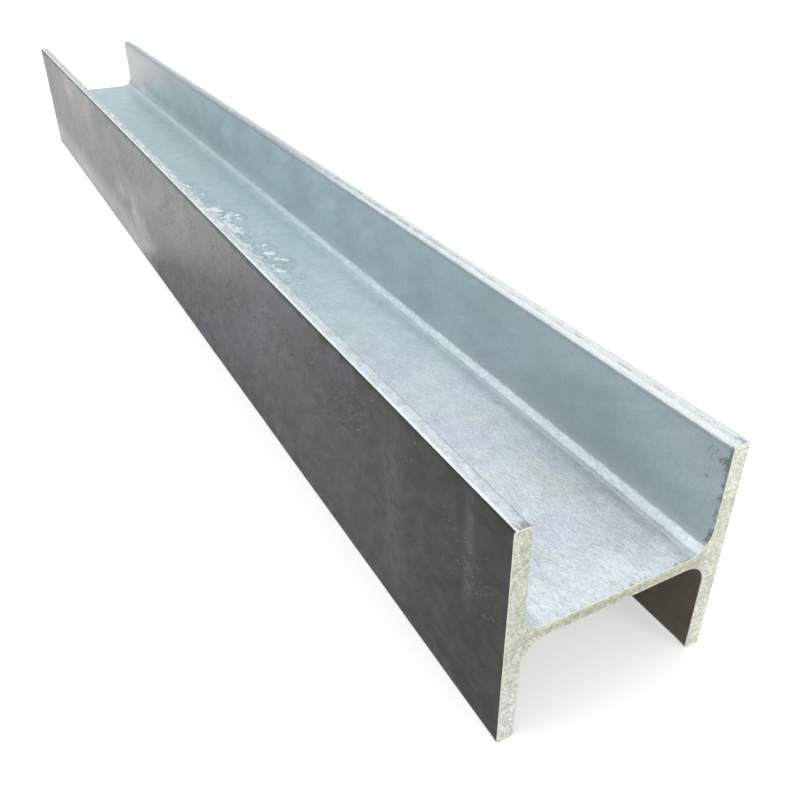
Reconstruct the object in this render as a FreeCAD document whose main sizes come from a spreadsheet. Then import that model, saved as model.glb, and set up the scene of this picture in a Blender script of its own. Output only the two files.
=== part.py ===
"""Steel H-post: one length of hot-rolled universal column, sawn square at both ends.

The post lies on the toes of its flanges, with the web level between them. X runs along the post,
Y across the depth of the section and +Z up. The origin is the middle of its footprint, on the floor.
"""

import FreeCAD
import Part
import Sketcher

import os

DIMENSIONS = {  # millimetres
    "post_length": 900,
    "section_depth": 97,
    "flange_width": 99,
    "flange_thickness": 7,
    "web_thickness": 5,
    "root_radius": 10,
    "outer_toe_radius": 0.8,
    "inner_toe_radius": 1.6,
}
POST = "h_post"
START, END = 1, 2  # how the sketcher names the ends of a line
FLOOR_AXIS, MIDDLE_AXIS = -1, -2  # how it names a sketch's own axes: along Y, and up the middle
NEAR = 1e-4  # mm, how far an edge may lie from the corner it is looked for at

# Corners of the H by their place in section_corners.
FLOOR_TOES = (0, 4)
OUTER_TOES = (0, 5, 6, 11)
INNER_TOES = (1, 4, 7, 10)
ROOTS = (2, 3, 8, 9)


def make_sheet(doc):
    """The driving dimensions, one aliased cell each."""
    sheet = doc.addObject("Spreadsheet::Sheet", "sizes")
    for row, (alias, value) in enumerate(DIMENSIONS.items(), start=1):
        sheet.set(f"A{row}", alias)
        sheet.set(f"B{row}", str(value))
        sheet.setAlias(f"B{row}", alias)
    doc.recompute()
    return sheet


def origin_plane(body, role):
    return next(plane for plane in body.Origin.OriginFeatures if plane.Role == role)


def section_corners(sheet):
    """The twelve square corners of the H, as (y, z), anticlockwise from the outer floor toe at -Y."""
    half_depth = sheet.section_depth / 2
    half_slot = half_depth - sheet.flange_thickness
    top = sheet.flange_width
    web_low = (sheet.flange_width - sheet.web_thickness) / 2
    web_high = web_low + sheet.web_thickness
    return [
        (-half_depth, 0),
        (-half_slot, 0),
        (-half_slot, web_low),
        (half_slot, web_low),
        (half_slot, 0),
        (half_depth, 0),
        (half_depth, top),
        (half_slot, top),
        (half_slot, web_high),
        (-half_slot, web_high),
        (-half_slot, top),
        (-half_depth, top),
    ]


def draw_section(body, sheet):
    """The square-cornered H on the YZ plane, bound to the sheet: line i starts at corner i."""
    sketch = body.newObject("Sketcher::SketchObject", "section")
    sketch.AttachmentSupport = [(origin_plane(body, "YZ_Plane"), "")]
    sketch.MapMode = "FlatFace"
    corners = [FreeCAD.Vector(y, z, 0) for y, z in section_corners(sheet)]
    lines = range(len(corners))
    for line in lines:
        following = (line + 1) % len(corners)
        sketch.addGeometry(Part.LineSegment(corners[line], corners[following]), False)
    for line in lines:
        following = (line + 1) % len(corners)
        sketch.addConstraint(Sketcher.Constraint("Coincident", line, END, following, START))
        sketch.addConstraint(Sketcher.Constraint("Vertical" if line % 2 else "Horizontal", line))
    for toe in FLOOR_TOES:
        sketch.addConstraint(Sketcher.Constraint("PointOnObject", toe, START, FLOOR_AXIS))
    sketch.addConstraint(Sketcher.Constraint("Symmetric", 11, START, 6, START, MIDDLE_AXIS))
    for toe_line in (4, 6, 10):  # all four toes are as thick as the first
        sketch.addConstraint(Sketcher.Constraint("Equal", 0, toe_line))
    sketch.addConstraint(Sketcher.Constraint("Equal", 1, 9))  # slots as deep below the web as above
    sizes = (
        ("section_depth", "DistanceX", 11, 6),
        ("flange_width", "DistanceY", 5, 6),
        ("flange_thickness", "DistanceX", 0, 1),
        ("web_thickness", "DistanceY", 3, 8),
    )
    for name, direction, first, second in sizes:
        size = getattr(sheet, name)
        index = sketch.addConstraint(
            Sketcher.Constraint(direction, first, START, second, START, size)
        )
        sketch.renameConstraint(index, name)
        sketch.setExpression(f"Constraints.{name}", f"{sheet.Name}.{name}")
    return sketch


def edges_along(shape, corners):
    """Names of the edges that run along the post through the given (y, z) corners."""
    names = []
    for number, edge in enumerate(shape.Edges, start=1):
        first, last = edge.firstVertex().Point, edge.lastVertex().Point
        if abs(first.y - last.y) > NEAR or abs(first.z - last.z) > NEAR:
            continue
        if any(abs(first.y - y) < NEAR and abs(first.z - z) < NEAR for y, z in corners):
            names.append(f"Edge{number}")
    return names


def round_corners(base, name, sheet, places, radius):
    """A fillet of the named radius along the whole post, at each of those places on the H."""
    corners = section_corners(sheet)
    edges = edges_along(base.Shape, [corners[place] for place in places])
    if len(edges) != len(places):
        raise RuntimeError(f"{name}: found {len(edges)} edges for {len(places)} corners")
    body = base.getParentGeoFeatureGroup()
    fillet = body.newObject("PartDesign::Fillet", name)
    fillet.Base = (base, edges)
    fillet.setExpression("Radius", f"{sheet.Name}.{radius}")
    body.Document.recompute()
    return fillet


def make_post(doc, sheet):
    """The rolled bar: the H padded both ways from the middle, with its roots and toes rounded."""
    body = doc.addObject("PartDesign::Body", POST)
    body.Label = POST
    sketch = draw_section(body, sheet)
    doc.recompute()
    bar = body.newObject("PartDesign::Pad", "bar")
    bar.Profile = sketch
    bar.Midplane = True
    bar.setExpression("Length", f"{sheet.Name}.post_length")
    doc.recompute()
    rooted = round_corners(bar, "root_fillets", sheet, ROOTS, "root_radius")
    eased = round_corners(rooted, "inner_toes", sheet, INNER_TOES, "inner_toe_radius")
    body.Tip = round_corners(eased, "outer_toes", sheet, OUTER_TOES, "outer_toe_radius")
    body.Placement = FreeCAD.Placement()
    doc.recompute()
    return body, sketch


def check(doc, body, sketch):
    """Stops the build if an object failed, the section is loose or the post isn't one solid."""
    failed = [o.Name for o in doc.Objects if {"Invalid", "Error"} & set(o.State)]
    if failed:
        raise RuntimeError(f"failed features: {failed}")
    if not sketch.FullyConstrained:
        raise RuntimeError("the section isn't fully constrained")
    shape = body.Shape
    if shape.isNull() or not shape.isValid() or len(shape.Solids) != 1:
        raise RuntimeError(f"{body.Label} isn't one valid solid")


def main():
    doc = FreeCAD.newDocument("steel_h_post")
    sheet = make_sheet(doc)
    body, sketch = make_post(doc, sheet)
    check(doc, body, sketch)
    os.makedirs("parts", exist_ok=True)
    body.Shape.exportStep(f"parts/{body.Label}.step")
    box = body.Shape.BoundBox
    print(f"{body.Label}: {box.XLength:.2f} x {box.YLength:.2f} x {box.ZLength:.2f} mm")
    print(f"section area {body.Shape.Volume / box.XLength:.1f} mm2")


main()
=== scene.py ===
"""Looks of a galvanised steel H-post: its zinc coat, its outer faces, weathered zinc with painted shade and
reflection in their greys, and its sawn ends.

It is laid out as an add-on and run as a script. Everything is in metres, in the frame of the packed
post: X along the post, Y across the section depth, +Z up, and the floor at Z = 0.
"""

import math
import random

import bpy
import numpy as np
from mathutils import Euler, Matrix, Vector, geometry, noise


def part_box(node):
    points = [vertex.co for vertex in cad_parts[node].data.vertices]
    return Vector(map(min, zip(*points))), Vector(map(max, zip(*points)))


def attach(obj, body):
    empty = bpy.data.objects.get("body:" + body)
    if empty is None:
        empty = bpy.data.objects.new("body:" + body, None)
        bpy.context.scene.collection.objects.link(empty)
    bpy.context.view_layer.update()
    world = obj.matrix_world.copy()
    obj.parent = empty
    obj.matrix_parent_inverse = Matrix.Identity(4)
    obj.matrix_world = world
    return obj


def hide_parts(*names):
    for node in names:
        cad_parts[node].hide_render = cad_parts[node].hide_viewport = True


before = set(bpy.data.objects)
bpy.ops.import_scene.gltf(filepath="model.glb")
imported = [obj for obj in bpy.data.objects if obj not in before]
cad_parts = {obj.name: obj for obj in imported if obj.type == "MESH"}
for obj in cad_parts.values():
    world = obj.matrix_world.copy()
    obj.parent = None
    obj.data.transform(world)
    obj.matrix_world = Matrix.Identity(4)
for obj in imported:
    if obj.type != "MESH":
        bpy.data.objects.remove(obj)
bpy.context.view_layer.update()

bl_info = {
    "name": "Galvanised H-post",
    "version": (1, 0, 0),
    "blender": (4, 5, 0),
    "location": "3D View > Sidebar > H-post",
    # The weathered faces' greys are mostly painted shade and reflection.
    "description": "Gives a rolled H-post its zinc coat, weathered faces and sawn ends, and a stage",
    "category": "Object",
}

NODE = "h_post"
MM = 0.001

# Surfaces round the section, in the order that a quarter of it meets them.
OUTER, TOE, INNER, ROOT, WEB = range(5)
COATED, WEATHERED_SHADED, UNDER_SHADOW, SAWN = range(4)  # the post's materials, by slot

ROLLED_EDGE = 4.5 * MM  # strip of the web beside a root that shows the marks of the rolls
ROLL_LINE, ROLL_RIDGE = 1.4 * MM, 3.2 * MM  # the rolls' groove and ridge, from the root's edge
TOE_STEPS, ROOT_STEPS = 4, 10  # steps round a toe's arris and round a root
LONG_WAVE, SHORT_WAVE = 48 * MM, 13 * MM  # lengths of the waves in the zinc
TOES_DRAINED = (-0.25, 0.2)  # the toes' lumps grow between these, counted in -X
END_SWELL = 0.15 * MM  # height of the zinc's waves on a sawn end
END_FADE = 6 * MM  # the rest of the relief dies out over this length before an end
GRID_SEED = 5

SPLASH_START, SPLASH_END = -0.12, 0.2  # where the splashes on the web begin and end along the post
SPLASH_THICKEST = 0.055  # where along the post most of them lie
SPLASH_SIDE = 20 * MM  # how far nearly all of them reach from the middle of the web
SPLASH_LINE, SPLASH_SPREAD = -9 * MM, 6.5 * MM  # the line they lie about, and how far they stray
SPLASH_DRIFT = 22 * MM  # how far that line moves towards +Y in a metre
SPLASHES_SINK = (0.10, 0.17)  # they get lower along this stretch
SPLASH_SEED = 12
GROUP_COUNT, GROUP_SPREAD, GROUP_MARGIN = 4, 10 * MM, 20 * MM  # splashes in a group, and their room


# ---------------------------------------------------------------- sizes and colours

def colour(name, description, default):
    """A colour that a user can set."""
    return bpy.props.FloatVectorProperty(
        name=name, description=description, default=default, subtype="COLOR", size=3, min=0, max=1
    )


def length(name, description, default):
    """A length that a user can set."""
    return bpy.props.FloatProperty(
        name=name, description=description, default=default, min=0, unit="LENGTH", precision=5
    )


def watts(name, description, default):
    """A light's power that a user can set."""
    return bpy.props.FloatProperty(
        name=name, description=description, default=default, min=0, unit="POWER"
    )


class HPostShape(bpy.types.PropertyGroup):
    """How finely the coat is meshed, and how far the zinc stands off the rolled steel."""

    step_along: length("Step along", "Distance between the mesh's rings along the post", 3.4 * MM)
    step_round: length("Step round", "Distance between points on the flat faces", 4.2 * MM)
    step_fine: length("Fine step", "Distance between points among the splashes", 1.7 * MM)
    step_end: length("Step on the ends", "Distance between points on the sawn ends", 1.5 * MM)
    waviness: length("Waviness", "Height of the coat's long, slow waves", 0.09 * MM)
    toe_lumps: length("Toe lumps", "Height of the zinc lumps on the upper toes", 0.5 * MM)
    splashes: length("Splashes", "Height of the crinkled zinc splashes on the web", 0.9 * MM)
    splash_count: bpy.props.IntProperty(
        name="Splash count", description="Number of zinc splashes on the web", default=130, min=0
    )
    bead: length("End bead", "How far the zinc stands proud along a sawn edge", 0.16 * MM)
    arris: length("End arris", "Radius that the zinc leaves on a sawn edge", 0.35 * MM)
    roll_mark: length("Roll mark", "Depth of the line that the rolls leave beside a root", 0.08 * MM)


class HPostColours(bpy.types.PropertyGroup):
    """Colours of the zinc on each surface."""

    frost: colour("Frost", "Fresh, frosted zinc at the near end of the web", (0.66, 0.72, 0.76))
    lilac: colour("Lilac frost", "Cooler patches in the frosted zinc", (0.61, 0.65, 0.73))
    cream: colour("Cream frost", "Warmer patches in the frosted zinc", (0.70, 0.74, 0.70))
    shade: colour("Dull frost", "The web's zinc away from the near end", (0.43, 0.545, 0.585))
    # Partly pooled zinc and partly a painted highlight of the light from above.
    pool: colour("Pooled zinc", "Bright band where zinc ran thick in a root", (0.70, 0.80, 0.84))
    splash: colour("Splash", "Crusts of bright zinc on the web and toes", (0.82, 0.86, 0.86))
    toe: colour("Toe zinc", "Mottled zinc on the flange toes", (0.50, 0.59, 0.64))
    flange: colour("Flange zinc", "Smoother, greyer zinc inside the flanges", (0.59, 0.69, 0.725))
    pale: colour("Pale zinc", "Washed-out zinc at the far end", (0.60, 0.61, 0.60))
    # The outer faces' greys, charcoal to chalk, are mostly painted shade and reflection over weathered
    # zinc.
    charcoal: colour("Charcoal", "Outer face at its darkest end", (0.038, 0.039, 0.033))
    umber: colour("Umber", "Browner patches in the charcoal", (0.070, 0.062, 0.054))
    slate: colour("Slate", "Outer face, half way along", (0.078, 0.090, 0.092))
    blue: colour("Slate blue", "Slanting bluer bands in the slate", (0.094, 0.105, 0.132))
    dove: colour("Dove grey", "Outer face at its palest end", (0.255, 0.258, 0.258))
    chalk: colour("Chalk", "Washed patches on the palest part of an outer face", (0.47, 0.455, 0.435))
    lead: colour("Lead", "Even grey that most of the back face takes", (0.17, 0.175, 0.172))
    # Painted shadow, browned by painted bounce light, in the slot that faces the floor.
    under_shadow: colour("Stain", "Brown-black stain in the slot that faces the floor", (0.12, 0.102, 0.068))
    sawn: colour("Sawn end", "Zinc over the sawn steel", (0.60, 0.63, 0.52))
    ash: colour("Ash", "Greyer zinc low on a sawn end", (0.76, 0.77, 0.74))
    core: colour("Core", "Duller, browner middle of the sawn web", (0.44, 0.41, 0.31))
    rim: colour("Rim", "Zinc bead round a sawn end", (0.80, 0.80, 0.69))
    grime: colour("Grime", "Dirt in pits and along cut edges", (0.12, 0.115, 0.10))


class HPostStage(bpy.types.PropertyGroup):
    """Floor, lights and camera."""

    floor_colour: colour("Floor", "Colour of the floor", (0.93, 0.93, 0.93))
    floor_size: length("Floor size", "Side of the square floor", 12.0)
    floor_lift: bpy.props.FloatProperty(
        name="Floor lift", description="White added to the floor as the camera, gloss and glass see it",
        default=0.46, min=0
    )
    sky: bpy.props.FloatProperty(
        name="Sky", description="Strength of the plain light from all round", default=0.58, min=0
    )
    key: watts("Overhead light", "Power of the soft light above", 10)
    fill: watts("End light", "Power of the soft light facing the near end", 6)
    side: watts("Side light", "Power of the soft light facing the flanges", 7)
    lens: bpy.props.FloatProperty(
        name="Lens", description="Focal length of the camera", default=37.70, min=1, unit="CAMERA"
    )
    camera_place: bpy.props.FloatVectorProperty(
        name="Camera place", description="Where the camera stands",
        default=(0.5988, -0.1658, 0.2646), subtype="TRANSLATION", unit="LENGTH"
    )
    camera_turn: bpy.props.FloatVectorProperty(
        name="Camera turn", description="How the camera is turned",
        default=[math.radians(a) for a in (57.525, 0.395, 61.711)], subtype="EULER", unit="ROTATION"
    )


# ---------------------------------------------------------------- the post's own sizes

class Section:
    """Sizes of the rolled section, read off the frame's solid."""

    def __init__(self):
        low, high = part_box(NODE)
        self.half_length = (high.x - low.x) / 2
        self.half_depth = (high.y - low.y) / 2
        self.half_width = (high.z - low.z) / 2
        self.middle = (high.z + low.z) / 2
        corners = [(abs(v.co.y), abs(v.co.z - self.middle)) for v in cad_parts[NODE].data.vertices]
        slack = 1e-5
        below_toes = 0.75 * self.half_width
        top = [y for y, z in corners if z > self.half_width - slack]
        deep = [(y, z) for y, z in corners if z < below_toes]
        self.half_slot = max(y for y, z in deep)  # from the middle to a flange's inner face
        self.half_web = min(z for y, z in deep)
        self.web_edge = min(y for y, z in deep)  # where the web's flat ends and its root begins
        self.root = self.half_slot - self.web_edge
        self.outer_toe = self.half_depth - max(top)
        self.inner_toe = min(top) - self.half_slot


class Outline:
    """Points round the section with their outward normals, and the surface of each interval."""

    def __init__(self, start, normal):
        self.points = [start]
        self.normals = [normal]
        self.surfaces = []

    def add(self, point, normal, surface):
        self.points.append(point)
        self.normals.append(normal)
        self.surfaces.append(surface)

    def run(self, end, step, surface):
        """A straight stretch to end, in equal steps."""
        start, normal = np.array(self.points[-1]), self.normals[-1]
        count = max(1, round(math.dist(start, end) / step))
        for k in range(1, count + 1):
            self.add(tuple(start + (np.array(end) - start) * k / count), normal, surface)

    def turn(self, centre, radius, first, last, count, surface):
        """An arc about centre between two angles in degrees: hollow where it turns clockwise."""
        outward = 1 if last > first else -1
        for k in range(1, count + 1):
            angle = math.radians(first + (last - first) * k / count)
            along = (math.cos(angle), math.sin(angle))
            point = (centre[0] + radius * along[0], centre[1] + radius * along[1])
            self.add(point, (outward * along[0], outward * along[1]), surface)


def quarter_outline(s, step, fine):
    """The quarter from the middle of an outer face, over the toe, to the middle of the web."""
    quarter = Outline((s.half_depth, 0.0), (1, 0))
    quarter.run((s.half_depth, s.half_width - s.outer_toe), step, OUTER)
    corner = (s.half_depth - s.outer_toe, s.half_width - s.outer_toe)
    quarter.turn(corner, s.outer_toe, 0, 90, TOE_STEPS, OUTER)
    quarter.run((s.half_slot + s.inner_toe, s.half_width), fine, TOE)
    corner = (s.half_slot + s.inner_toe, s.half_width - s.inner_toe)
    quarter.turn(corner, s.inner_toe, 90, 180, TOE_STEPS, TOE)
    quarter.run((s.half_slot, s.half_web + s.root), step, INNER)
    quarter.turn((s.web_edge, s.half_web + s.root), s.root, 0, -90, ROOT_STEPS, ROOT)
    quarter.run((s.web_edge - ROLLED_EDGE, s.half_web), fine / 2, WEB)
    quarter.run((SPLASH_SIDE, s.half_web), 2 * fine, WEB)
    quarter.run((0.0, s.half_web), fine, WEB)
    return quarter


def whole_outline(s, step, fine):
    """Points, normals and surfaces all round the section, anticlockwise seen from +X."""
    quarter = quarter_outline(s, step, fine)
    points, normals, surfaces = [], [], []
    for side, up, reverse in ((1, 1, False), (-1, 1, True), (-1, -1, False), (1, -1, True)):
        turn = -1 if reverse else 1
        mirror = (side, up)
        points += [np.multiply(p, mirror) for p in quarter.points[::turn]][:-1]
        normals += [np.multiply(n, mirror) for n in quarter.normals[::turn]][:-1]
        surfaces += [(k, up > 0) for k in quarter.surfaces[::turn]]
    return np.array(points), np.array(normals), surfaces


# ---------------------------------------------------------------- relief of the zinc

def smooth(value, low, high):
    """0 below low and 1 above high, with an easy curve between."""
    t = min(1.0, max(0.0, (value - low) / (high - low)))
    return t * t * (3 - 2 * t)


def hump(value, centre, reach):
    """1 at centre, falling away to nothing about two reaches from it."""
    return math.exp(-((value - centre) / reach) ** 2)


def toe_relief(place, shape):
    """Lumps of zinc on a toe, heavier towards the far end, where the coat drained slowly."""
    drained = 0.35 + 0.65 * smooth(-place.x, *TOES_DRAINED)
    lump = smooth(noise.noise(place / (5.5 * MM)), 0.05, 0.6)
    ripple = noise.noise(place / (9 * MM) + Vector((3, 1, 7)))
    return shape.toe_lumps * drained * (0.75 * lump + 0.3 * ripple)


def draw_splashes(count):
    """Places, sizes and turns of the splashes, which lie in groups: a few stand out, most are faint."""
    draw = random.Random(SPLASH_SEED)
    splashes = []
    for k in range(count):
        if k % GROUP_COUNT == 0:
            group = draw.triangular(SPLASH_START + GROUP_MARGIN, SPLASH_END - GROUP_MARGIN, SPLASH_THICKEST)
        x = draw.gauss(group, GROUP_SPREAD)
        y = draw.gauss(SPLASH_LINE, SPLASH_SPREAD) + SPLASH_DRIFT * max(0.0, x)
        half_length = draw.triangular(2.5 * MM, 7.5 * MM, 4 * MM)
        half_width = draw.uniform(0.4, 0.6) * half_length
        turn = draw.gauss(0.6, 0.5)
        height = (0.25 + 0.75 * draw.random() ** 2) * (1 - 0.6 * smooth(x, *SPLASHES_SINK))
        splashes.append((x, y, half_length, half_width, turn, height))
    return splashes


def splash_share(place, splashes):
    """How high the splashes stand at a place on the web, from 0 to about 1."""
    share = 0.0
    for x, y, half_length, half_width, turn, height in splashes:
        off_x, off_y = place.x - x, place.y - y
        along = off_x * math.cos(turn) + off_y * math.sin(turn)
        across = off_y * math.cos(turn) - off_x * math.sin(turn)
        away = (along / half_length) ** 2 + (across / half_width) ** 2
        if away < 5:  # further out, nothing of the splash is left
            share = max(share, height * math.exp(-away))
    crease = abs(noise.noise(place / (3.4 * MM) + Vector((5, 5, 5))))
    return share * max(0.0, 1.1 - 1.3 * crease)


def coat_height(place, s, surface, shape):
    """How far the zinc's face stands off the rolled one at a place on the section."""
    height = shape.waviness * noise.noise(place / LONG_WAVE)
    height += 0.4 * shape.waviness * noise.noise(place / SHORT_WAVE)
    if surface == TOE:
        height = toe_relief(place, shape) if place.z > s.middle else 0.0  # flat on the floor
    if surface == WEB:
        from_middle = abs(place.y)
        height -= shape.roll_mark * hump(from_middle, s.web_edge - ROLL_LINE, 0.75 * MM)
        height += 0.4 * shape.roll_mark * hump(from_middle, s.web_edge - ROLL_RIDGE, 0.8 * MM)
    return height


# ---------------------------------------------------------------- the post's mesh

def spaced(low, high, step):
    """Even places from low up to high, without high itself, no more than step apart."""
    count = math.ceil((high - low) / step)
    return [low + (high - low) * k / count for k in range(count)]


def stations(s, shape):
    """Rings from the far end to the near one, as (x, inset, bead).

    Inset is how far a ring is drawn in from the section, and bead is its share of the end bead.
    """
    inner_end = s.half_length - 4 * shape.arris
    places = spaced(-inner_end, SPLASH_START, shape.step_along)
    places += spaced(SPLASH_START, SPLASH_END, shape.step_fine)
    places += [*spaced(SPLASH_END, inner_end, shape.step_along), inner_end]
    middle = [(x, 0.0, 0.0) for x in places]
    end = [(s.half_length - 2.5 * shape.arris, 0.0, 0.6)]  # where the bead begins to rise
    for k in range(4):  # the arris turns from the side to the end in three steps
        angle = math.radians(30 * k)
        inset = shape.arris * (1 - math.cos(angle))
        end.append((s.half_length - shape.arris * (1 - math.sin(angle)), inset, math.cos(angle)))
    end.append((s.half_length, 2 * shape.arris - 0.1 * MM, 0.0))
    far = [(-x, inset, bead) for x, inset, bead in reversed(end)]
    return far + middle + end


def in_section(s, y, z, margin):
    """Whether a point of the section's plane lies in the steel, at least margin from its edge."""
    side, up = abs(y), abs(z)
    if side > s.half_depth - margin or up > s.half_width - margin:
        return False
    if side > s.half_slot + margin or up < s.half_web - margin:
        return True
    beyond = side > s.web_edge and up < s.half_web + s.root
    return beyond and math.dist((side, up), (s.web_edge, s.half_web + s.root)) > s.root + margin


def end_grid(s, step):
    """Points spread over the steel of an end, in staggered rows."""
    noise.seed_set(GRID_SEED)  # noise_vector starts from the clock otherwise
    margin = 0.75 * step
    rows = math.ceil(s.half_width / step)
    columns = math.ceil(s.half_depth / step)
    grid = []
    for row in range(-rows, rows + 1):
        for column in range(-columns, columns + 1):
            y = (column + 0.5 * (row % 2)) * step
            z = row * step
            jitter = noise.noise_vector(Vector((y, z, 0)) / MM) * 0.2 * step
            if in_section(s, y + jitter.x, z + jitter.y, margin):
                grid.append((y + jitter.x, z + jitter.y))
    return grid


def fill_end(ring, grid):
    """Triangles over an end, as places in ring followed by grid, anticlockwise seen from +X."""
    count = len(ring)
    edges = [(k, (k + 1) % count) for k in range(count)]
    flat = [Vector(p) for p in [*ring, *grid]]
    inside = 1  # keep the triangles that lie within the edges
    too_close = 1e-7
    _, _, faces, sources, _, _ = geometry.delaunay_2d_cdt(flat, edges, [], inside, too_close)
    return [[sources[k][0] for k in face] for face in faces]


class CoatMesh:
    """The coat's mesh in the making: vertices with their rim and splash, faces with their material."""

    def __init__(self):
        self.vertices, self.rim, self.splash = [], [], []
        self.faces, self.materials = [], []

    def add_vertex(self, place, rim=0.0, splash=0.0):
        self.vertices.append(place)
        self.rim.append(rim)
        self.splash.append(splash)

    def add_face(self, corners, material):
        self.faces.append(corners)
        self.materials.append(material)

    def make(self, name):
        """The mesh, which keeps rim and splash as attributes for the materials."""
        mesh = bpy.data.meshes.new(name)
        mesh.from_pydata(self.vertices, [], self.faces)
        mesh.polygons.foreach_set("material_index", self.materials)
        mesh.shade_smooth()
        for attribute, values in (("rim", self.rim), ("splash", self.splash)):
            mesh.attributes.new(attribute, "FLOAT", "POINT").data.foreach_set("value", values)
        if mesh.validate(verbose=True):
            raise RuntimeError("the coated post's mesh has faulty faces")
        return mesh


def add_rings(coat, s, shape, rings):
    """A ring of vertices at each station, raised by the coat; returns each interval's surface."""
    outline, normals, surfaces = whole_outline(s, shape.step_round, shape.step_fine)
    splashes = draw_splashes(shape.splash_count)
    for x, inset, bead in rings:
        near_end = smooth(abs(x), s.half_length - END_FADE, s.half_length)
        rim = min(1.0, bead) if abs(x) > s.half_length - 2 * shape.arris else 0.0
        for (y, z), normal, (surface, upper) in zip(outline, normals, surfaces):
            place = Vector((x, y, z + s.middle))
            splash = splash_share(place, splashes) if surface == WEB and upper else 0.0
            height = coat_height(place, s, surface, shape) + shape.splashes * splash
            if surface != TOE or upper:
                height += shape.bead * bead * (0.7 + 0.5 * noise.noise(Vector((y, z, x)) / (6 * MM)))
            height *= 1 - near_end * (1 - min(1.0, bead + 0.2))
            y_out = y + normal[0] * (height - inset)
            z_out = z + normal[1] * (height - inset)
            on_floor = max(0.0, z_out + s.middle)  # nothing sinks into the floor
            coat.add_vertex((x, y_out, on_floor), rim, splash)
    return surfaces


def side_material(surface, upper):
    """The material of a face along the post."""
    # Outer faces: weathered zinc with painted shade and reflection in its greys.
    if surface == OUTER:
        return WEATHERED_SHADED
    # Faces in the slot towards the floor take the painted shadow.
    return COATED if upper or surface == TOE else UNDER_SHADOW


def add_sides(coat, s, shape, rings, surfaces):
    """Faces from each ring to the next, sawn where they turn over an end's arris."""
    count = len(surfaces)
    for ring in range(len(rings) - 1):
        furthest = max(abs(rings[ring][0]), abs(rings[ring + 1][0]))
        sawn = furthest > s.half_length - 0.9 * shape.arris
        base = ring * count
        for k, (surface, upper) in enumerate(surfaces):
            after = (k + 1) % count
            corners = (base + k, base + after, base + count + after, base + count + k)
            coat.add_face(corners, SAWN if sawn else side_material(surface, upper))


def add_end(coat, s, side, base, count, grid):
    """Closes the near end (side 1) or the far one (side -1) within its ring, count vertices from base."""
    ring = [(y, z - s.middle) for x, y, z in coat.vertices[base:base + count]]
    first = len(coat.vertices)
    places = [*range(base, base + count), *range(first, first + len(grid))]
    for y, z in grid:
        swell = END_SWELL * noise.noise(Vector((side * 5, y / (7 * MM), z / (7 * MM))))
        coat.add_vertex((side * (s.half_length + swell), y, z + s.middle))
    for face in fill_end(ring, grid):
        coat.add_face([places[k] for k in (face if side > 0 else face[::-1])], SAWN)


def build_post(s, shape):
    """The coated post as one closed mesh."""
    coat = CoatMesh()
    rings = stations(s, shape)
    surfaces = add_rings(coat, s, shape, rings)
    add_sides(coat, s, shape, rings, surfaces)
    grid = end_grid(s, shape.step_end)
    count = len(surfaces)
    add_end(coat, s, -1, 0, count, grid)
    add_end(coat, s, 1, (len(rings) - 1) * count, count, grid)
    return bpy.data.objects.new("coated_post", coat.make("coated_post"))


# ---------------------------------------------------------------- node helpers

def tint(base, share):
    """A darker or lighter copy of a colour."""
    return tuple(share * c for c in base)


def put(tree, kind, inputs=None, **settings):
    """A new node: its settings are set, and each input is linked to a socket or given a value."""
    node = tree.nodes.new(kind)
    for name, value in settings.items():
        setattr(node, name, value)
    for name, value in (inputs or {}).items():
        socket = node.inputs[name]
        if isinstance(value, bpy.types.NodeSocket):
            tree.links.new(value, socket)
        else:
            socket.default_value = value
    return node


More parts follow.
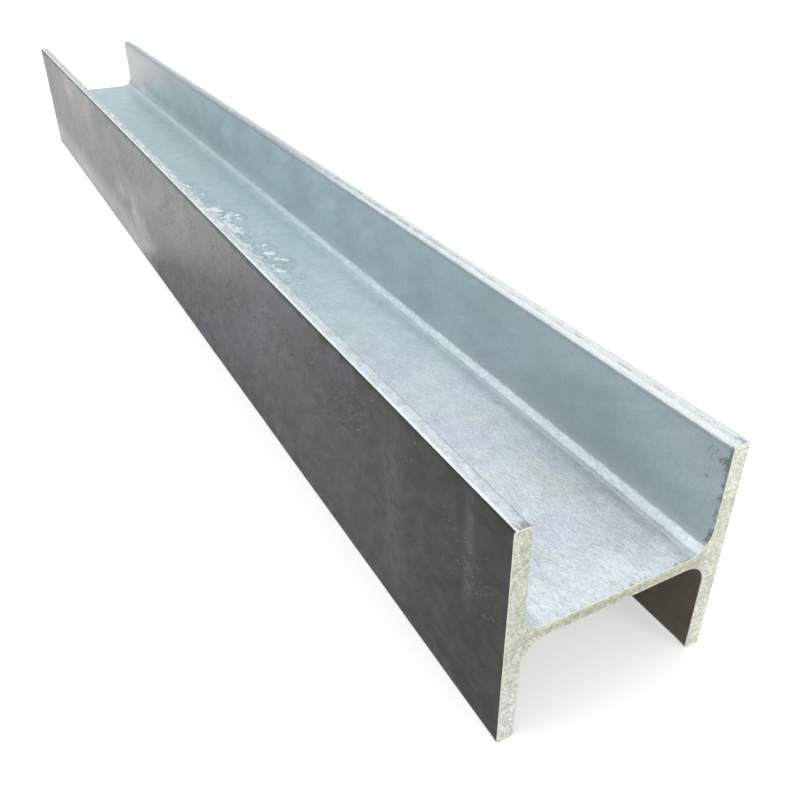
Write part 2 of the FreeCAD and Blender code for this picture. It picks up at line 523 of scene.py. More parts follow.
class Paint:
    """A material in the making, with a short call for each kind of step that the coats share."""

    def __init__(self, name):
        self.material = bpy.data.materials.new(name)
        self.material.use_nodes = True
        self.tree = self.material.node_tree
        self.tree.nodes.clear()
        coordinates = put(self.tree, "ShaderNodeTexCoord").outputs
        self.place = coordinates["Object"]
        self.x, self.y, self.z = put(self.tree, "ShaderNodeSeparateXYZ", {0: self.place}).outputs
        facing = put(self.tree, "ShaderNodeSeparateXYZ", {0: coordinates["Normal"]}).outputs
        self.level = self.calc("ABSOLUTE", facing[2])  # 1 on a level surface, 0 on an upright one

    def calc(self, operation, first, second=0.0, third=0.0):
        """One step of arithmetic on plain numbers or sockets."""
        inputs = {0: first, 1: second, 2: third}
        return put(self.tree, "ShaderNodeMath", inputs, operation=operation).outputs[0]

    def add(self, first, second):
        return self.calc("ADD", first, second)

    def less(self, first, second):
        return self.calc("SUBTRACT", first, second)

    def times(self, first, second):
        return self.calc("MULTIPLY", first, second)

    def off(self, value, centre):
        """How far value is from centre, either way."""
        return self.calc("ABSOLUTE", self.less(value, centre))

    def ease(self, value, low, high, to_low=0.0, to_high=1.0):
        """An easy step of value, from to_low at low to to_high at high."""
        ends = {"Value": value, "From Min": low, "From Max": high, "To Min": to_low, "To Max": to_high}
        node = put(self.tree, "ShaderNodeMapRange", ends, interpolation_type="SMOOTHSTEP")
        return node.outputs["Result"]

    def near(self, value, centre, reach, most=1.0):
        """Most where value is centre, easing to 0 at reach either side of it."""
        return self.ease(self.off(value, centre), 0.0, reach, most, 0.0)

    def by_side(self, left=0.0, right=1.0):
        """Left over the -Y half of the post and right over the +Y half, with an easy step between."""
        return self.ease(self.y, -SIDE_BLEND, SIDE_BLEND, left, right)

    def cloud(self, size, detail=3.0, rough=0.5, twist=0.0, shift=0.0, tilt=0.0):
        """Noise about 0.5 in patches of a size, one for all axes or one for each; tilt turns it about Y."""
        sizes = size if isinstance(size, tuple) else (size,) * 3
        turned = put(self.tree, "ShaderNodeMapping", {"Vector": self.place, "Rotation": (0, tilt, 0)})
        values = {"Vector": turned.outputs[0], "Scale": tuple(1 / x for x in sizes),
                  "Location": (shift,) * 3}
        scaled = put(self.tree, "ShaderNodeMapping", values)
        values = {"Vector": scaled.outputs[0], "Scale": 1.0, "Detail": detail, "Roughness": rough,
                  "Distortion": twist}
        return put(self.tree, "ShaderNodeTexNoise", values).outputs["Fac"]

    def blend(self, factor, first, second, mode="MIX"):
        """Colour first, turning to second as factor rises; a plain colour is three numbers."""
        mix = put(self.tree, "ShaderNodeMix", data_type="RGBA", blend_type=mode)
        for place, value in ((0, factor), (6, first), (7, second)):
            socket = mix.inputs[place]
            if isinstance(value, bpy.types.NodeSocket):
                self.tree.links.new(value, socket)
            else:
                socket.default_value = (*value, 1) if place else value
        return mix.outputs[2]

    def multiply(self, base, shares):
        """Base times another colour, or times a plain share."""
        return self.blend(1.0, base, shares, "MULTIPLY")

    def speckle(self, base, grain, low, high):
        """Base, darkened to share low and lightened to share high by a grain's two sides."""
        shares = self.blend(self.ease(grain, 0.3, 0.7), (low,) * 3, (high,) * 3)
        return self.multiply(base, shares)

    def finish(self, base, metal, rough, height, depth, gloss=0.5):
        """The shader: base colour, share of metal, roughness, relief of depth metres, and gloss."""
        bump = put(self.tree, "ShaderNodeBump", {"Height": height, "Distance": depth, "Strength": 1.0})
        values = {"Base Color": base, "Metallic": metal, "Roughness": rough,
                  "Specular IOR Level": gloss, "Normal": bump.outputs[0]}
        shader = put(self.tree, "ShaderNodeBsdfPrincipled", values)
        put(self.tree, "ShaderNodeOutputMaterial", {"Surface": shader.outputs[0]})
        return self.material


# ---------------------------------------------------------------- materials

SIDE_BLEND = 10 * MM  # the two sides of the post blend within this of its middle
BAND_LOW, BAND_HIGH = 0.42, 0.72  # a root's bright band: 0 is at the web and 1 at the flange

# Places along the post, in X, between which a look comes or goes.
FROST_COMES = (0.10, 0.53)  # the web turns from dull to frosted
FROST_ROUGHENS = (0.12, 0.5)
RIDGES_RISE = (0.1, 0.42)
FAR_WEB = (-0.34, -0.24)  # the web is paler beyond these
WEB_SIDE_BRIGHTENS, WEB_SIDE_DULLS = (-0.05, 0.08), (0.31, 0.40)  # its +Y side
HOLLOW_DEEPENS = (0.12, 0.34)  # the shade beside the bright band of the +Y root
LIGHT_LINE_COMES = (0.15, 0.4)
# The root band's painted highlight strengthens and fades along these.
BAND_BRIGHTENS, BAND_FADES = (-0.15, 0.2), (0.30, 0.37)
FLANGE_DARKENS, FLANGE_GREENS = (0.1, 0.42), (0.28, 0.38)
FLANGE_PALES = (-0.45, -0.40)  # at the web's level, from which the border slants
ABOVE_BAND_DARKENS = (0.32, 0.1)
TOE_CRUSTS, TOE_BRIGHTENS = (0.3, 0.1), (0.18, 0.34)
TOE_DULLS, TOE_EDGE_BRIGHTENS = (0.12, 0.0), (0.04, 0.18)  # the +Y toe's inner edge
CHARCOAL_COMES, CHARCOAL_DEEPENS = (0.20, 0.44), (0.39, 0.45)
FAR_CHALK_COMES = (-0.15, -0.25)

# Patches along the outer faces, as their middle in X and their reach; most are painted shade, light or
# reflection.
UMBER_PATCH = (0.31, 0.09)
# Painted shadow low on the outer face and painted light high on it.
LIT_PATCH = (0.17, 0.17)  # darker below and paler above
# A painted shadow low on the outer face.
SHADOW_PATCH = (0.02, 0.08)
# A painted reflection, pale low on the outer face.
LOW_PALE_PATCH = (-0.065, 0.05)
HIGH_CHALK_PATCH = (-0.27, 0.14)
WIDE_WIPE, NARROW_WIPE = (0.371, 15 * MM), (0.426, 6 * MM)

# Borders that slant along the post: their slant is how far they go along for each metre up.
PALE_SLANT = 4.9  # inside the flanges
BLUE_SLANT, BLUE_BAND = 1.6, (0.12, 0.06)  # middle at the floor, and reach
# Beyond the dove grey's border the outer face carries a painted reflection.
DOVE_SLANT, DOVE_BORDER = 2.75, -0.058
LOW_CHALK_COMES = (-0.055, -0.09)  # beside the dove grey's border


def web_colour(p, colours, s):
    """Frosted web: brightest at the near end, blotched lilac and cream, with fine dark flecks."""
    patches = p.cloud(40 * MM, 3)
    frost = p.blend(p.ease(patches, 0.4, 0.6), colours.frost, colours.lilac)
    warm = p.cloud(26 * MM, 2, shift=9.0)
    near_cut = p.ease(p.x, s.half_length - 28 * MM, s.half_length, 0.0, 0.16)
    frost = p.blend(p.ease(p.add(warm, near_cut), 0.56, 0.72, 0, 0.7), frost, colours.cream)
    along = p.add(p.x, p.times(patches, 0.12))
    base = p.blend(p.ease(along, *FROST_COMES), colours.shade, frost)
    base = p.blend(p.ease(along, *FAR_WEB, 1.0, 0.0), base, tint(colours.shade, 1.08))
    right = p.ease(p.x, *WEB_SIDE_DULLS, 1.14, 0.92)
    right = p.times(right, p.ease(p.x, *WEB_SIDE_BRIGHTENS, 0.92, 1.0))
    shares = p.blend(p.ease(p.y, 0.0, 20 * MM), (1.03,) * 3, right)
    base = p.multiply(base, shares)
    cut = p.ease(p.x, s.half_length - 22 * MM, s.half_length - 6 * MM, 0.0, 0.8)
    base = p.blend(cut, base, tint(colours.frost, 1.12))
    rough = p.ease(along, *FROST_ROUGHENS, 0.25, 1.0)
    fleck = p.cloud((3.4 * MM, 2.4 * MM, 3 * MM), 4, 0.62, 1.5, shift=2.0)
    base = p.blend(p.times(p.ease(fleck, 0.40, 0.30, 0.0, 0.55), rough), base, tint(colours.shade, 0.7))
    base = p.blend(p.times(p.ease(fleck, 0.58, 0.70, 0.0, 0.6), rough), base, colours.splash)
    blotch = p.cloud(8 * MM, 3, 0.55, shift=4.0)
    base = p.speckle(base, blotch, 0.93, 1.05)
    return p.speckle(base, web_relief(p), 0.93, 1.07)


def web_relief(p):
    """Small curled ridges in the frosted zinc, about 0.5, higher towards the near end."""
    curls = p.cloud((3.6 * MM, 2.6 * MM, 3 * MM), 4, 0.6, 1.2, shift=1.7)
    raised = p.ease(p.x, *RIDGES_RISE, 0.25, 1.0)
    return p.add(p.times(p.less(curls, 0.5), raised), 0.5)


def root_lines(p, base, in_root, colours):
    """A root's bright band, partly pooled zinc and partly a painted highlight, and on its web side a hollow
    of painted shade, a dark line and a fine light one.
    """
    broken = p.ease(p.cloud((20 * MM, 3 * MM, 3 * MM), 3, 0.6, shift=5.0), 0.35, 0.6, 0.3, 1.0)
    hollow = p.times(p.ease(in_root, -0.35, 0.2), p.ease(in_root, BAND_LOW, BAND_LOW - 0.08))
    hollow = p.times(hollow, p.times(p.ease(p.x, *HOLLOW_DEEPENS), p.by_side()))
    base = p.blend(hollow, base, p.multiply(base, (0.72, 0.74, 0.75)))
    dark_line = p.times(p.near(in_root, BAND_LOW - 0.05, 0.06, 0.3), broken)
    base = p.blend(dark_line, base, tint(colours.shade, 0.72))
    near_end = p.ease(p.x, *LIGHT_LINE_COMES, 0.0, 0.45)
    light_line = p.times(p.near(in_root, BAND_LOW - 0.16, 0.06), near_end)
    base = p.blend(light_line, base, colours.pool)
    # The band: pooled zinc and a painted highlight, strongest on the +Y side.
    band = p.times(p.ease(in_root, BAND_LOW - 0.02, BAND_LOW + 0.05),
                   p.ease(in_root, BAND_HIGH - 0.06, BAND_HIGH + 0.04, 1.0, 0.0))
    band_patches = p.cloud((5 * MM, 2.5 * MM, 2.5 * MM), 5, 0.7, shift=3.0)
    strength = p.times(p.ease(band_patches, 0.38, 0.60, 0.35, 1.0), p.ease(p.x, *BAND_BRIGHTENS, 0.4, 1.0))
    strength = p.times(strength, p.ease(p.x, *BAND_FADES, 1.0, 0.75))
    strength = p.times(strength, p.by_side(0.35, 1.0))
    fleck = p.cloud((2.2 * MM, 1.4 * MM, 1.4 * MM), 3, 0.7, shift=8.5)
    return p.blend(p.times(band, strength), base, p.speckle(colours.pool, fleck, 0.80, 1.18))


def flange_colour(p, colours, s, in_root):
    """Inside of a flange: smooth grey-green, faintly brushed, and paler at the far end."""
    strokes = p.cloud((30 * MM, 30 * MM, 4 * MM), 4, 0.6, tilt=0.5)
    base = p.blend(p.ease(p.x, *FLANGE_DARKENS), tint(colours.flange, 1.05), tint(colours.flange, 0.87))
    base = p.speckle(base, strokes, 0.96, 1.04)
    drift = p.cloud((50 * MM, 50 * MM, 25 * MM), 3, shift=2.0)
    base = p.speckle(base, drift, 0.9, 1.08)
    low = p.times(p.ease(p.z, s.middle + 10 * MM, s.middle + 32 * MM, 1.0, 0.0),
                  p.ease(p.x, *FLANGE_GREENS, 0.15, 0.6))
    base = p.blend(low, base, p.multiply(colours.flange, (0.80, 0.84, 0.80)))
    slanted = p.less(p.x, p.times(p.less(p.z, s.middle), PALE_SLANT))
    slanted = p.add(slanted, p.times(drift, 0.06))
    base = p.blend(p.ease(slanted, *FLANGE_PALES, 0.85, 0.0), base, colours.pale)
    above_band = p.times(p.near(in_root, BAND_HIGH + 0.07, 0.07, 0.12),
                         p.ease(p.x, *ABOVE_BAND_DARKENS, 0.25, 1.0))
    base = p.blend(above_band, base, tint(colours.flange, 0.5))
    # Painted shade: the hollow is darkened where it turns up, to take back the light it catches from above.
    turned_up = p.ease(in_root, BAND_HIGH, 1.15, 0.74, 1.0)  # the hollow catches the light from above
    return p.multiply(base, turned_up)


def toe_colour(p, colours, s, across):
    """Top of a toe: mottled zinc with crusted edges, dark dashes along it and grime at its corners.

    Across is 0 at the flange's inner face and 1 at its outer one.
    """
    lumps = p.cloud((6 * MM, 3 * MM, 5 * MM), 5, 0.75, shift=5.0)
    base = p.speckle(colours.toe, lumps, 0.74, 1.22)
    crust = p.cloud((8 * MM, 3.5 * MM, 5 * MM), 4, 0.65, shift=1.0)
    outer = p.near(across, 0.84, 0.22)
    right = p.by_side()
    inner = p.times(p.near(across, 0.14, 0.2), p.times(right, p.ease(p.x, *TOE_EDGE_BRIGHTENS)))
    edges = p.times(p.calc("MAXIMUM", outer, inner), p.ease(crust, 0.32, 0.52, 0.45, 1.0))
    base = p.blend(edges, base, colours.splash)
    dull = p.times(p.ease(across, 0.45, 0.25, 0.0, 0.8), p.times(right, p.ease(p.x, *TOE_DULLS)))
    base = p.blend(dull, base, tint(colours.toe, 0.66))
    far = p.times(p.ease(crust, 0.54, 0.62, 0.0, 0.85), p.ease(p.x, *TOE_CRUSTS))
    far = p.times(far, p.by_side(1.0, 0.3))
    base = p.blend(far, base, colours.splash)
    near_end = p.times(p.ease(p.x, *TOE_BRIGHTENS), p.by_side(0.2, 0.7))
    base = p.blend(near_end, base, tint(colours.splash, 0.97))
    dashes = p.cloud((6 * MM, 2 * MM, 3 * MM), 3, 0.6, shift=8.0)
    dark = p.times(p.near(across, 0.12, 0.12, 0.45), p.less(1.0, right))
    groove = p.times(p.near(across, 0.5, 0.1, 0.7), right)
    dark = p.times(p.calc("MAXIMUM", dark, groove), p.ease(dashes, 0.5, 0.6, 0.0, 0.75))
    arris = p.times(p.ease(across, 0.88, 0.97), right)
    dark = p.calc("MAXIMUM", dark, p.times(arris, p.ease(dashes, 0.42, 0.56, 0.15, 0.8)))
    corner = p.times(p.ease(p.x, s.half_length - 6 * MM, s.half_length - 2 * MM),
                     p.ease(dashes, 0.46, 0.56, 0.0, 0.6))
    dark = p.calc("MAXIMUM", dark, corner)
    base = p.blend(dark, base, colours.grime)
    pits = p.cloud(2.2 * MM, 3, 0.6, shift=7.0)
    return p.blend(p.ease(pits, 0.64, 0.72, 0, 0.35), base, tint(colours.toe, 0.4))


def splash_flecks(p, base, splash, colours):
    """Broken white crusts where the splashes stand, with painted shadow round their edges, and ripples
    about them painted as shade in their troughs and highlight on their crests.
    """
    ragged = p.cloud((4.5 * MM, 3 * MM, 3 * MM), 4, 0.62, 0.8, shift=6.5)
    high = p.add(splash, p.times(p.less(ragged, 0.5), 0.8))
    there = p.ease(splash, 0.02, 0.12)
    # Painted shadow round the edge of each splash.
    crease = p.times(p.near(high, 0.13, 0.09, 0.6), there)
    base = p.blend(crease, base, tint(colours.shade, 0.6))
    crust = p.times(p.ease(high, 0.18, 0.42, 0.0, 0.85), there)
    base = p.blend(crust, base, tint(colours.splash, 1.1))
    ripple = p.cloud((9 * MM, 2.6 * MM, 3 * MM), 4, 0.62, 1.8, shift=7.5)
    spilt = p.times(p.near(p.x, SPLASH_THICKEST + 0.03, 0.22), p.ease(p.y, 14 * MM, -4 * MM))
    # Painted shade in the ripples' troughs here, and a painted highlight on their crests after.
    ripple_shade = p.times(spilt, p.ease(ripple, 0.44, 0.37, 0.0, 0.55))
    base = p.blend(ripple_shade, base, tint(colours.shade, 0.66))
    return p.blend(p.times(spilt, p.ease(ripple, 0.55, 0.62, 0.0, 0.8)), base, colours.pool)


def edge_dirt(p, s):
    """Share of dirt in a narrow strip along the cut edges, most of it inside the flanges."""
    from_end = p.less(s.half_length, p.calc("ABSOLUTE", p.x))
    specks = p.cloud((1.3 * MM, 1.6 * MM, 3.2 * MM), 4, 0.75, shift=4.0)
    patchy = p.cloud(14 * MM, 2, shift=1.0)
    dirt = p.add(specks, p.ease(from_end, 0.0, 4.5 * MM, 0.19, -0.05))
    dirt = p.add(dirt, p.ease(p.level, 0.5, 0.9, 0.03, -0.09))
    dirt = p.add(dirt, p.times(p.less(patchy, 0.5), 0.6))
    return p.times(p.ease(dirt, 0.60, 0.76, 0, 0.75), p.ease(from_end, 12 * MM, 22 * MM, 1.0, 0.0))


def coated_material(colours, s):
    """Frosted zinc: bright and blotchy on the web, roots and toes, greyer inside the flanges."""
    p = Paint("frosted_zinc")
    side = p.calc("ABSOLUTE", p.y)
    off_middle = p.off(p.z, s.middle)
    in_root = p.calc("DIVIDE", p.less(side, s.web_edge), s.root)
    ragged = p.less(p.cloud((3.5 * MM, 2 * MM, 2 * MM), 4, 0.7, shift=1.5), 0.5)
    in_root = p.add(in_root, p.times(ragged, 0.12))
    across = p.calc("DIVIDE", p.less(side, s.half_slot), s.half_depth - s.half_slot)
    base = p.blend(p.ease(in_root, BAND_HIGH - 0.02, BAND_HIGH + 0.02), web_colour(p, colours, s),
                   flange_colour(p, colours, s, in_root))
    base = root_lines(p, base, in_root, colours)
    under_toe = p.near(off_middle, s.half_width - 2.2 * MM, 0.8 * MM, 0.35)
    base = p.blend(under_toe, base, tint(colours.flange, 0.45))
    on_toe = p.ease(off_middle, s.half_width - 1.8 * MM, s.half_width - 0.9 * MM)
    base = p.blend(on_toe, base, toe_colour(p, colours, s, across))
    splash = put(p.tree, "ShaderNodeAttribute", attribute_name="splash").outputs["Fac"]
    base = splash_flecks(p, base, splash, colours)
    grain = p.cloud(1.4 * MM, 5, 0.68)
    base = p.speckle(base, grain, 0.93, 1.06)
    base = p.blend(edge_dirt(p, s), base, colours.grime)
    crinkle = p.cloud(2.6 * MM, 4, 0.6, 0.8)
    lumpy = p.calc("MAXIMUM", on_toe, p.ease(p.level, 0.6, 0.9, 0.15, 0.3))
    height = p.add(p.times(crinkle, lumpy), p.times(grain, 0.15))
    height = p.add(height, p.times(web_relief(p), p.ease(p.level, 0.8, 0.95, 0.0, 0.9)))
    return p.finish(base, 0.45, p.ease(grain, 0.2, 0.8, 0.38, 0.55), height, 0.5 * MM)


def outer_bands(p, colours):
    """An outer face's greys, mostly painted shade and reflection over weathered zinc: charcoal, then slate
    with a blue band, then dove grey and chalk.
    """
    drift = p.cloud((60 * MM, 40 * MM, 30 * MM), 4, 0.6, tilt=0.35)
    wander = p.times(p.less(drift, 0.5), 0.16)
    along = p.add(p.x, wander)
    grey = p.blend(p.ease(along, *CHARCOAL_COMES), colours.slate, colours.charcoal)
    grey = p.blend(p.ease(p.x, *CHARCOAL_DEEPENS), grey, tint(colours.charcoal, 0.78))
    brown = p.times(p.near(along, *UMBER_PATCH), p.ease(p.z, 30 * MM, 60 * MM, 0.8, 0.0))
    grey = p.blend(brown, grey, colours.umber)
    grey = p.blend(p.near(p.add(along, p.times(p.z, -BLUE_SLANT)), *BLUE_BAND, 0.8), grey, colours.blue)
    # The dove grey beyond a slanting border is a painted reflection of a bright ground.
    slanted = p.add(p.x, p.times(p.z, -DOVE_SLANT))
    slanted = p.add(slanted, p.times(wander, 0.4))
    beyond = p.add(slanted, -DOVE_BORDER)
    softness = p.add(p.times(p.z, 0.75), 14 * MM)  # the border is softer higher up
    beyond = p.calc("DIVIDE", beyond, softness)
    # Painted shadow low and painted light high on the outer face.
    lit = p.ease(p.z, 12 * MM, 90 * MM, 0.74, 1.27)
    grey = p.blend(p.near(p.x, *LIT_PATCH), grey, p.multiply(grey, lit))
    grey = p.blend(p.ease(beyond, -1.0, 1.0, 1.0, 0.0), grey, colours.dove)
    # A painted shadow low on the outer face.
    dull = p.times(p.near(p.x, *SHADOW_PATCH), p.near(p.z, 38 * MM, 24 * MM, 0.35))
    grey = p.blend(dull, grey, colours.slate)
    # Paler chalk patches, low beside the dove grey's border, towards the far end and high there: painted
    # reflection and light.
    pale_below = p.times(p.near(along, *LOW_PALE_PATCH), p.ease(p.z, 34 * MM, 68 * MM, 0.7, 0.0))
    low = p.times(p.ease(slanted, *LOW_CHALK_COMES), p.ease(p.z, 8 * MM, 34 * MM, 0.9, 0.0))
    low = p.add(low, p.ease(p.x, *FAR_CHALK_COMES, 0.0, 0.12))
    high = p.times(p.near(p.x, *HIGH_CHALK_PATCH), p.ease(p.z, 50 * MM, 88 * MM, 0.0, 0.6))
    paler = p.calc("MAXIMUM", p.calc("MAXIMUM", pale_below, low), high)
    grey = p.blend(paler, grey, colours.chalk)
    return p.speckle(grey, drift, 0.9, 1.1)


def weathered_shaded_material(colours, s):
    """Outer faces: weathered zinc, banded on the -Y one with painted shade and reflection, and a more even
    grey on the +Y one.
    """
    p = Paint("weathered_shaded_zinc")
    grey = outer_bands(p, colours)
    grey = p.blend(p.by_side(0.0, 0.6), grey, colours.lead)
    grey = wipes_and_glints(p, grey, colours)
    mottle = p.cloud((13 * MM, 10 * MM, 7 * MM), 3, 0.55, 0.6, tilt=0.5)
    grey = p.speckle(grey, mottle, 0.88, 1.12)
    crisp = p.ease(p.cloud((9 * MM, 6 * MM, 6 * MM), 5, 0.6, 1.2, shift=4.5, tilt=0.4), 0.46, 0.54)
    grey = p.speckle(grey, crisp, 0.95, 1.05)
    warm = p.cloud(28 * MM, 3, shift=8.0)
    grey = p.blend(p.ease(warm, 0.52, 0.7, 0, 0.3), grey, p.multiply(grey, (1.05, 1.0, 0.90)))
    ragged = p.add(p.off(p.z, s.middle), p.times(p.less(mottle, 0.5), 3 * MM))
    toe_edge = p.ease(ragged, s.half_width - 2.6 * MM, s.half_width - 1.2 * MM, 0.0, 0.55)
    grey = p.blend(toe_edge, grey, colours.charcoal)
    grain = p.cloud(1.8 * MM, 4, 0.6)
    grey = p.speckle(grey, grain, 0.95, 1.05)
    height = p.add(p.times(grain, 0.3), mottle)
    return p.finish(grey, 0.2, p.ease(mottle, 0.3, 0.7, 0.45, 0.62), height, 0.25 * MM, gloss=0.2)


def wipes_and_glints(p, grey, colours):
    """Two upright wiped streaks near the near end, patches of slanting ripples painted as glints with their
    painted shade, and bright specks.
    """
    ragged = p.cloud((5 * MM, 9 * MM, 7 * MM), 5, 0.65, 0.8, shift=6.0, tilt=0.5)
    wide = p.times(p.near(p.x, *WIDE_WIPE), p.ease(p.z, 90 * MM, 70 * MM, 0.4, 1.0))
    wide = p.times(wide, p.ease(p.z, 4 * MM, 24 * MM))
    narrow = p.times(p.near(p.x, *NARROW_WIPE), p.ease(p.z, 36 * MM, 60 * MM))
    wiped = p.times(p.calc("MAXIMUM", wide, narrow), p.ease(ragged, 0.38, 0.58, 0.12, 0.65))
    grey = p.blend(wiped, grey, tint(colours.slate, 1.15))
    # Painted light and shade of small slanting ripples, a light and a dark side to each.
    glint = p.cloud((7 * MM, 3 * MM, 1.8 * MM), 4, 0.65, 1.2, shift=3.0, tilt=0.6)
    patch = p.cloud(34 * MM, 2, shift=2.5)
    shown = p.times(p.ease(patch, 0.43, 0.57), p.ease(p.z, 35 * MM, 60 * MM, 0.25, 1.0))
    glint_shade = p.times(shown, p.ease(glint, 0.44, 0.36, 0.0, 0.6))
    grey = p.blend(glint_shade, grey, tint(colours.charcoal, 0.8))
    glint_light = p.times(shown, p.ease(glint, 0.57, 0.68, 0.0, 0.5))
    grey = p.blend(glint_light, grey, tint(colours.dove, 0.8))
    specks = p.cloud(1.3 * MM, 2, 0.5, shift=9.5)
    return p.blend(p.ease(specks, 0.76, 0.8, 0, 0.6), grey, colours.dove)


def under_shadow_material(colours):
    """The slot that faces the floor: painted shadow, brown-black with painted bounce light, over dull zinc.
    """
    p = Paint("under_shadow_zinc")
    blotch = p.cloud(22 * MM, 5, 0.65)
    base = p.speckle(colours.under_shadow, blotch, 0.75, 1.3)
    grain = p.cloud(1.6 * MM, 4, 0.6)
    base = p.speckle(base, grain, 0.92, 1.08)
    return p.finish(base, 0.2, p.ease(grain, 0.3, 0.7, 0.55, 0.75), grain, 0.2 * MM)


def sawn_material(colours, s):
    """A sawn end under zinc: sparkling cream-grey, palest on the +Y flange, with a bead round it."""
    p = Paint("sawn_zinc")
    patches = p.cloud(11 * MM, 3, shift=3.0)
    base = p.speckle(colours.sawn, patches, 0.88, 1.08)
    off_middle = p.off(p.z, s.middle)
    pale = p.times(p.ease(p.y, s.half_slot - 6 * MM, s.half_slot + 1 * MM),
                   p.ease(off_middle, 18 * MM, 36 * MM, 0.4, 0.75))
    base = p.blend(pale, base, colours.rim)
    grey = p.times(p.ease(p.z, 48 * MM, 12 * MM), p.ease(p.y, 0.0, -s.half_slot, 0.0, 0.8))
    base = p.blend(grey, base, colours.ash)
    core = p.times(p.near(off_middle, 0.0, 2.4 * MM),
                   p.ease(p.calc("ABSOLUTE", p.y), s.half_slot + 3 * MM, s.half_slot - 4 * MM, 0.0, 0.65))
    base = p.blend(core, base, colours.core)
    sparkle = p.cloud(0.9 * MM, 4, 0.8)
    coarse = p.cloud(2 * MM, 3, 0.6, 0.8, shift=6.0)
    base = p.speckle(base, coarse, 0.76, 1.20)
    base = p.speckle(base, sparkle, 0.64, 1.34)
    rim = put(p.tree, "ShaderNodeAttribute", attribute_name="rim").outputs["Fac"]
    base = p.blend(p.ease(rim, 0.1, 0.8), base, colours.rim)
    kerf = p.cloud((1 * MM, 4 * MM, 1.6 * MM), 2, shift=2.0)
    height = p.add(p.add(sparkle, coarse), p.times(kerf, 0.4))
    return p.finish(base, 0.3, p.ease(sparkle, 0.3, 0.7, 0.35, 0.6), height, 0.4 * MM)


# ---------------------------------------------------------------- stage

def seen_rays(tree):
    """1 for the rays of the camera, gloss and glass, and 0 for all others."""
    path = put(tree, "ShaderNodeLightPath").outputs
    seen = path["Is Camera Ray"]
    for ray in ("Is Glossy Ray", "Is Transmission Ray"):
        seen = put(tree, "ShaderNodeMath", {0: seen, 1: path[ray]}, operation="MAXIMUM").outputs[0]
    return seen


def floor_material(stage):
    """A plain pale floor that looks white where no shadow falls on it."""
    p = Paint("floor")
    base = p.blend(p.cloud(0.8, 2), tint(stage.floor_colour, 0.99), stage.floor_colour)
    lift = p.times(seen_rays(p.tree), stage.floor_lift)
    values = {"Base Color": base, "Roughness": 0.9, "Specular IOR Level": 0.1,
              "Emission Color": (1, 1, 1, 1), "Emission Strength": lift}
    shader = put(p.tree, "ShaderNodeBsdfPrincipled", values)
    put(p.tree, "ShaderNodeOutputMaterial", {"Surface": shader.outputs[0]})
    return p.material


def make_world(stage):
    """Plain light from all round; the camera, gloss and glass see it as white."""
    world = bpy.data.worlds.new("studio")
    world.use_nodes = True
    tree = world.node_tree
    tree.nodes.clear()
    strength = put(tree, "ShaderNodeMapRange",
                   {"Value": seen_rays(tree), "To Min": stage.sky, "To Max": 1.0})
    background = put(tree, "ShaderNodeBackground", {"Color": (1, 1, 1, 1),
                                                    "Strength": strength.outputs["Result"]})
    put(tree, "ShaderNodeOutputWorld", {"Surface": background.outputs[0]})
    bpy.context.scene.world = world


def soft_light(name, place, target, size, power):
    """A square soft light at place, facing target."""
    data = bpy.data.lights.new(name, "AREA")
    data.shape = "SQUARE"
    data.size = size
    data.energy = power
    light = bpy.data.objects.new(name, data)
    light.location = place
    light.rotation_euler = (Vector(target) - Vector(place)).to_track_quat("-Z", "Y").to_euler()
    bpy.context.scene.collection.objects.link(light)


def make_floor(stage):
    """The square floor, at Z = 0."""
    half = stage.floor_size / 2
    corners = [(-half, -half, 0), (half, -half, 0), (half, half, 0), (-half, half, 0)]
    mesh = bpy.data.meshes.new("floor")
    mesh.from_pydata(corners, [], [(0, 1, 2, 3)])
    mesh.materials.append(floor_material(stage))
    floor = bpy.data.objects.new("floor", mesh)
    bpy.context.scene.collection.objects.link(floor)


def make_camera(stage):
    """The camera that the scene is rendered from."""
    data = bpy.data.cameras.new("camera")
    data.lens = stage.lens
    camera = bpy.data.objects.new("camera", data)
    camera.location = stage.camera_place
    camera.rotation_euler = Euler(stage.camera_turn)
    bpy.context.scene.collection.objects.link(camera)
    bpy.context.scene.camera = camera


# ---------------------------------------------------------------- operators and panel

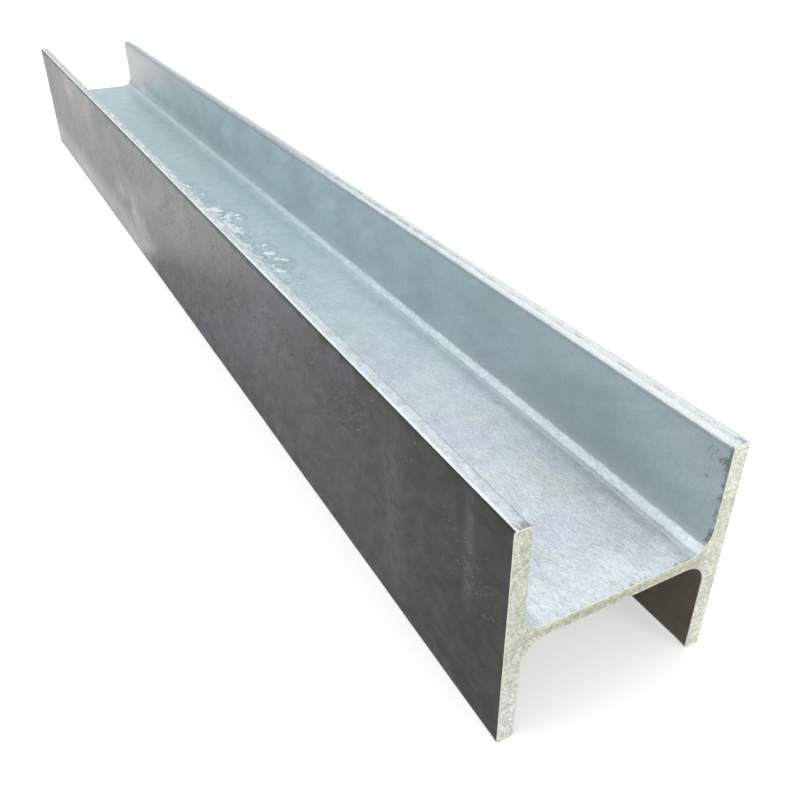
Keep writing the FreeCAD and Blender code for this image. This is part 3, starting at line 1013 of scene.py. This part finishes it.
class HPOST_OT_post(bpy.types.Operator):
    """Build the coated post over the rolled one"""

    bl_idname = "hpost.post"
    bl_label = "Coated post"

    def execute(self, context):
        colours = context.scene.hpost_colours
        section = Section()
        post = build_post(section, context.scene.hpost_shape)
        post.data.materials.append(coated_material(colours, section))
        post.data.materials.append(weathered_shaded_material(colours, section))
        post.data.materials.append(under_shadow_material(colours))
        post.data.materials.append(sawn_material(colours, section))
        context.scene.collection.objects.link(post)
        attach(post, "root")
        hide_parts(NODE)
        return {"FINISHED"}


class HPOST_OT_stage(bpy.types.Operator):
    """Lay the floor and set the lights and camera"""

    bl_idname = "hpost.stage"
    bl_label = "Stage"

    def execute(self, context):
        stage = context.scene.hpost_stage
        make_floor(stage)
        make_world(stage)
        soft_light("overhead_light", (-0.3, 0.2, 1.8), (0, 0, 0), 1.6, stage.key)
        soft_light("end_light", (1.6, 0.3, 0.7), (0.3, 0, 0.05), 0.9, stage.fill)
        soft_light("side_light", (-0.1, -1.5, 1.1), (0, 0.04, 0.05), 1.4, stage.side)
        make_camera(stage)
        context.scene.view_settings.view_transform = "Standard"
        return {"FINISHED"}


class HPOST_PT_panel(bpy.types.Panel):
    """Lists the post's and the stage's operators"""

    bl_label = "H-post"
    bl_idname = "HPOST_PT_panel"
    bl_space_type = "VIEW_3D"
    bl_region_type = "UI"
    bl_category = "H-post"

    def draw(self, context):
        scene = context.scene
        groups = ((HPOST_OT_post, (scene.hpost_shape, scene.hpost_colours)),
                  (HPOST_OT_stage, (scene.hpost_stage,)))
        for operator, all_settings in groups:
            self.layout.operator(operator.bl_idname)
            for settings in all_settings:
                for name in settings.bl_rna.properties.keys():
                    if name not in ("rna_type", "name"):
                        self.layout.prop(settings, name)


CLASSES = (HPostShape, HPostColours, HPostStage, HPOST_OT_post, HPOST_OT_stage, HPOST_PT_panel)


def register():
    for kind in CLASSES:
        bpy.utils.register_class(kind)
    bpy.types.Scene.hpost_shape = bpy.props.PointerProperty(type=HPostShape)
    bpy.types.Scene.hpost_colours = bpy.props.PointerProperty(type=HPostColours)
    bpy.types.Scene.hpost_stage = bpy.props.PointerProperty(type=HPostStage)


def unregister():
    del bpy.types.Scene.hpost_shape
    del bpy.types.Scene.hpost_colours
    del bpy.types.Scene.hpost_stage
    for kind in reversed(CLASSES):
        bpy.utils.unregister_class(kind)


def main():
    register()
    bpy.ops.hpost.post()
    bpy.ops.hpost.stage()


if __name__ == "__main__":
    main()
